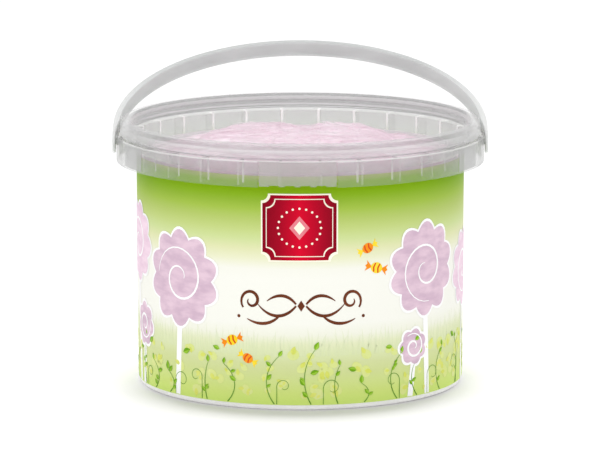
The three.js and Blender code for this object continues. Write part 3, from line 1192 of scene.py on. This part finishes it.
def add_candy(material):
    """The CAD node's form, remeshed finely and roughened into soft tufts."""
    source = frame["nodes"]["cotton_candy"].data
    verts = [tuple(v.co / MM) for v in source.vertices]
    candy = loose_object("candy_floss", verts, [tuple(p.vertices) for p in source.polygons])
    remesh = candy.modifiers.new("fine", "REMESH")
    remesh.mode = "VOXEL"
    remesh.voxel_size = FLOSS_GRID * MM
    apply_modifiers(candy)
    floss = bmesh.new()
    floss.from_mesh(candy.data)
    for _ in range(3):
        bmesh.ops.smooth_vert(
            floss, verts=floss.verts[:], factor=0.5, use_axis_x=True, use_axis_y=True, use_axis_z=True,
        )
    floss.normal_update()
    for vert in floss.verts:
        place = vert.co / MM
        tuft = noise.fractal(place * 0.22, 1.0, 2.1, 4)
        fibre = noise.noise(Vector((place.x * 0.9, place.y * 2.2, place.z * 2.2)))
        vert.co += vert.normal * (TUFT_RELIEF * tuft + FIBRE_RELIEF * fibre - TUFT_SINK) * MM
        reach = hypot(vert.co.x, vert.co.y) / MM
        limit = BODY_LOW_RADIUS - WALL - 0.05 + LABEL_TAPER * min(1, max(0, place.z / BODY_TOP))
        if reach > limit:
            vert.co.x *= limit / reach
            vert.co.y *= limit / reach
        vert.co.z = max(CANDY_LOW.z * MM, min(CANDY_CEILING * MM, vert.co.z))
    floss.to_mesh(candy.data)
    floss.free()
    paint(candy, [material])
    finish_piece(candy, "pail", 180)
    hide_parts("cotton_candy")
    return candy


def add_threads(candy, material, rng):
    """Loose threads of sugar lying over the floss, arched in small loops."""
    tree = BVHTree.FromPolygons(
        [v.co.copy() for v in candy.data.vertices], [tuple(p.vertices) for p in candy.data.polygons]
    )
    reach = BODY_LOW_RADIUS - WALL - 1.5
    threads = []
    for _ in range(THREAD_COUNT):
        angle, spread = rng.uniform(0, TURN), reach * sqrt(rng.uniform(0, 1))
        x, y = polar(0, 0, angle, spread)
        heading = rng.normal(0, 0.55) + (0 if rng.uniform() < 0.7 else rng.uniform(0, pi))
        curve = rng.normal(0, 0.10)
        step = rng.uniform(0.7, 1.8)
        thick = rng.uniform(0.05, 0.1)
        arch = rng.uniform(0.05, 0.9)
        path = []
        for k in range(THREAD_STEPS):
            hit = tree.ray_cast(Vector((x * MM, y * MM, DROP_HEIGHT)), Vector((0, 0, -1)))[0]
            if hit is None or hypot(x, y) > reach:
                break
            lift = 0.03 + arch * sin(pi * k / (THREAD_STEPS - 1))
            path.append(Vector((x, y, min(hit.z / MM + lift, CANDY_CEILING - 0.05))))
            heading += curve + rng.normal(0, 0.12)
            x, y = polar(x, y, heading, step)
        if len(path) < THREAD_LEAST:
            continue
        loops = []
        for k, point in enumerate(path):
            way = way_on(path, k)
            side = way.cross(Vector((0, 0, 1))).normalized()
            up = side.cross(way)
            radius = thick * (0.35 + 0.65 * sin(pi * (k + 0.5) / len(path)))
            turns = [TURN * j / THREAD_SIDES for j in range(THREAD_SIDES)]
            loops.append([tuple(point + (side * cos(t) + up * sin(t)) * radius) for t in turns])
        threads.append(loft(loops))
    make_piece("candy_threads", joined(threads), [material], sharp=180)


# ---------------------------------------------------------------- colours

GREY = even(0.45)
MILKY = (0.93, 0.93, 0.92, 1)
CLEAR = (0.5, 0.5, 0.495, 1)

# (place along X, how pale the handle is there): painted light on its sides.
HANDLE_PAINTED_LIGHT = [(-68, 0.45), (-56, 0.2), (-40, 0), (40, 0), (56, 0.2), (68, 0.45)]

# (height, grey, alpha) of the steps of the lid's inner wall and of its skirt, one step on each line: pale
# steps are painted highlights and dark steps painted shade.
INNER_BANDS = [
    (90.9, 110, 0.36), (91.4, 110, 0.36),
    (91.65, 175, 0.28), (92.05, 175, 0.28),
    (92.4, 115, 0.33), (93.5, 115, 0.33),
    (93.9, 200, 0.4), (94.8, 208, 0.42),
    (95.15, 90, 0.6), (96.0, 90, 0.6),
]
OUTER_BANDS = [
    (90.5, 130, 0.2), (90.8, 130, 0.2),
    (91.1, 205, 0.12), (92.7, 205, 0.12),
    (92.95, 243, 0.25), (93.7, 243, 0.25),
    (94.0, 120, 0.08), (95.1, 120, 0.08),
    (95.4, 238, 0.32), (96.0, 238, 0.32),
]
# The neck's grey and density paint the shade under the collar.
NECK_BANDS = [(BODY_TOP, 177, 0.2), (FLANGE_TOP, 177, 0.2)]
COLLAR_BANDS = [(COLLAR_BOTTOM, 177, 0.14), (COLLAR_TOP, 177, 0.14)]

# (place along Y, share of the alpha, fading into the plain grey): the lid's inner wall is densest at its
# back, as painted shade.
INNER_AROUND = [
    (-62, 0.6, 0), (-48, 0.5, 0), (-38, 0.5, 0.5), (-28, 0.5, 1), (5, 1, 1), (18, 1, 0), (62, 1, 0),
]
OUTER_AROUND = [(-65, 1, 0), (-50, 1, 0), (-36, 1, 0.6), (-26, 1, 1), (8, 1, 1), (24, 1, 0), (65, 1, 0)]
NECK_AROUND = [(-62, 1, 0), (-46, 1, 0), (-40, 1, 0.3), (-34, 1, 0.8), (-28, 1, 1), (5, 1, 1)]
COLLAR_AROUND = [(-67, 1, 0), (-52, 1, 0), (-44, 1, 0.4), (-38, 1, 0.7), (-20, 1, 1), (5, 1, 1)]

# sRGB colour of the sleeve's ground by height.
SLEEVE_GROUND = [
    (2.5, (210, 234, 124)),
    (6.1, (210, 228, 130)),
    (9.7, (210, 225, 143)),
    (13.2, (209, 220, 152)),
    (16.8, (211, 220, 162)),
    (20.4, (218, 227, 180)),
    (23.9, (226, 231, 194)),
    (27.0, (238, 239, 224)),
    (31.0, (243, 243, 235)),
    (47.0, (243, 243, 235)),
    (50.6, (241, 241, 231)),
    (54.1, (232, 234, 202)),
    (57.7, (222, 226, 178)),
    (61.3, (205, 220, 154)),
    (64.8, (194, 211, 131)),
    (68.4, (180, 201, 108)),
    (72.0, (164, 194, 76)),
    (74.8, (148, 184, 57)),
    (77.0, (136, 178, 33)),
    (79.1, (126, 170, 6)),
    (81.6, (132, 171, 14)),
    (83.8, (175, 183, 116)),
]

# The grass along the ground's upper edge, which starts in the ground's own colour.
GRASS_FOOT = 19.5
GRASS_GROUND = [
    (GRASS_FOOT, (216, 225, 179)),
    (23.0, (219, 227, 186)),
    (26.0, (226, 232, 204)),
    (28.5, (233, 236, 217)),
    (31.0, (239, 240, 228)),
]

# Crimson of the badge by place along X: bright in the middle and deep at both sides.
BADGE_SHADES = [
    (-BADGE_WIDE / 2, (128, 0, 24)),
    (-7.672, (160, 2, 34)),
    (0, (216, 4, 44)),
    (7.672, (168, 3, 36)),
    (BADGE_WIDE / 2, (122, 4, 26)),
]

# ---------------------------------------------------------------- everything together

add_camera()
add_floor()
add_light()

rib_side = moulded_plastic("pail_rib_side", GREY, 0.06, 0.35)
# Painted highlight along the top edges of the collar and the tab.
lip = moulded_plastic("pail_lip_highlight", MILKY, 0.42)
add_pail({
    "wall": moulded_plastic("pail_clear", CLEAR, 0.08, 0.25),
    # The foot band is milky plastic, and its glow is painted light.
    "foot": moulded_plastic("pail_foot", MILKY, 0.8, glow=0.12),
    # Painted shade under the collar, in front.
    "neck": banded_plastic("pail_neck_painted_shade", NECK_BANDS, NECK_AROUND, 240, 0.62),
    # Painted highlight: the milky, glowing back of the flange.
    "shelf": moulded_plastic("pail_flange_highlight", MILKY, 0.52, glow=0.16),
    "rim": moulded_plastic("pail_rim", CLEAR, 0.05),
    # Painted shade: the dark foot of the rim in front.
    "rim_foot": moulded_plastic("pail_rim_foot_painted_shade", (0.34, 0.34, 0.335, 1), 0.3, 0.35),
    "collar_front": banded_plastic("pail_collar", COLLAR_BANDS, COLLAR_AROUND, 206, 0.31),
    "lip": lip,
    "collar_back": moulded_plastic("pail_collar_back", GREY, 0.3),
    "collar_end": moulded_plastic("pail_collar_ends", (0.47, 0.47, 0.465, 1), 0.42),
})
# The ribs' milky, glowing ends are painted highlights.
add_ribs(
    rib_side,
    moulded_plastic("pail_rib_inner_end_highlight", MILKY, 0.36, 0.35, glow=0.12),
    moulded_plastic("pail_rib_outer_end", MILKY, 0.16, 0.35),
    moulded_plastic("pail_rib_back_end_highlight", MILKY, 0.75, 0.35, glow=0.28),
    moulded_plastic("pail_rib_root", GREY, 0.3, 0.35),
)
add_pads(moulded_plastic("pail_pad", (0.48, 0.48, 0.475, 1), 0.72, 0.35), rib_side)
add_tab([moulded_plastic("tab_frosted", (0.51, 0.49, 0.48, 1), 0.35, 0.5), lip])
add_lid(
    moulded_plastic("lid_panel", (0.6, 0.6, 0.595, 1), 0.06, 0.2),
    # The lid's inner wall and skirt carry painted light and shade in bands.
    banded_plastic("lid_inner_wall", INNER_BANDS, INNER_AROUND, 218, 0.42),
    banded_plastic("lid_skirt", OUTER_BANDS, OUTER_AROUND, 215, 0.32),
)
add_handle([
    handle_plastic("handle_milky", (0.62, 0.65, 0.64, 1)),
    # Painted shade: the darker finish of the hoop's upward-looking faces.
    handle_plastic("handle_edge_painted_shade", (0.5, 0.515, 0.51, 1)),
])

rng = np.random.default_rng(7)
white_ink = ink("white_ink", (250, 250, 250), (254, 254, 254))
add_sleeve(graded_print("sleeve_ground", "Z", SLEEVE_GROUND), white_ink)
add_grass(graded_print("sleeve_grass", "Z", GRASS_GROUND), rng)
add_sprigs(
    ink("leaf_green", (104, 160, 22), (138, 186, 44)),
    ink("leaf_shine", (146, 192, 52), (164, 206, 78)),
    ink("stem_green", (92, 142, 44), (116, 164, 66)),
    [ink("spot_faint", (216, 226, 140), (219, 228, 152)), ink("spot_pale", (212, 220, 100), (221, 226, 124))],
    rng,
)
add_puffs(white_ink, [
    ink("puff_pink", (208, 180, 199), (229, 202, 217), 150, (1, 1, 2.5)),
    ink("puff_lilac", (232, 202, 220), (245, 220, 234), 150, (1, 1, 2.5)),
])
add_badge(
    ink("badge_cream", (250, 244, 222), (254, 250, 236)),
    graded_print("badge_crimson", "X", BADGE_SHADES),
    ink("badge_rose", (226, 120, 132), (236, 150, 158)),
)
add_divider(ink("divider_brown", (92, 44, 26), (116, 62, 38)))
add_sweets(
    [
        ink("sweet_orange", (240, 130, 20), (250, 158, 40)),
        ink("sweet_yellow", (248, 208, 30), (252, 226, 70)),
    ],
    ink("sweet_red", (206, 60, 30), (222, 84, 40)),
)

candy_piece = add_candy(floss_material("floss_pink", (240, 210, 226), (249, 232, 241)))
add_threads(candy_piece, floss_material("floss_thread", (236, 204, 220), (245, 228, 237)), rng)
